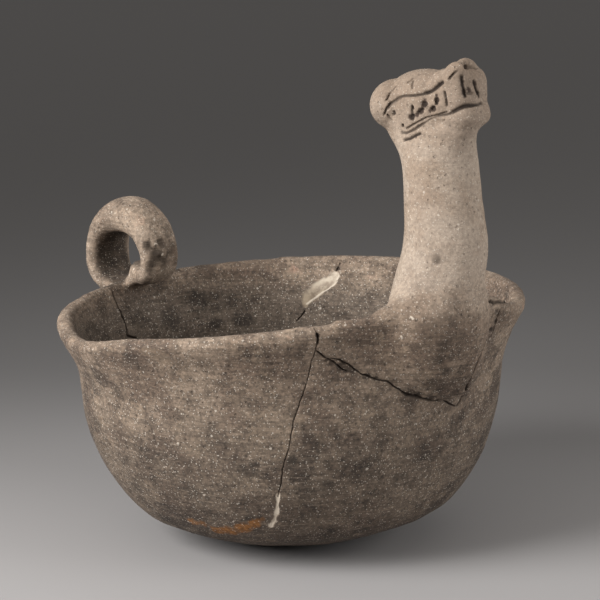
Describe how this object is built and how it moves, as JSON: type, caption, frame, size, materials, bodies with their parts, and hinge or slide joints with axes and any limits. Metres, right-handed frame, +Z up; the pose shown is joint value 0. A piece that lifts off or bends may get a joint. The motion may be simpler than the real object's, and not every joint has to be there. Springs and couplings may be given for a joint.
{
  "type": "effigy bowl",
  "caption": "Fired clay effigy bowl, round-bottomed, with an animal's head on a tall neck at one side of its rim and a coiled tail at the other.",
  "frame": {"origin": "the middle of the small flat that the bowl rests on, on the bowl's axis", "axes": "+Z up along the bowl's axis, +X from that axis to the neck and head, so that the tail lies towards -X, +Y to the left of that way"},
  "size_m": [0.2277, 0.2014, 0.2126],
  "materials": {
    "fired_clay": "matte"
  },
  "bodies": {
    "root": {"effigy_bowl": "fired_clay"}
  },
  "joints": []
}
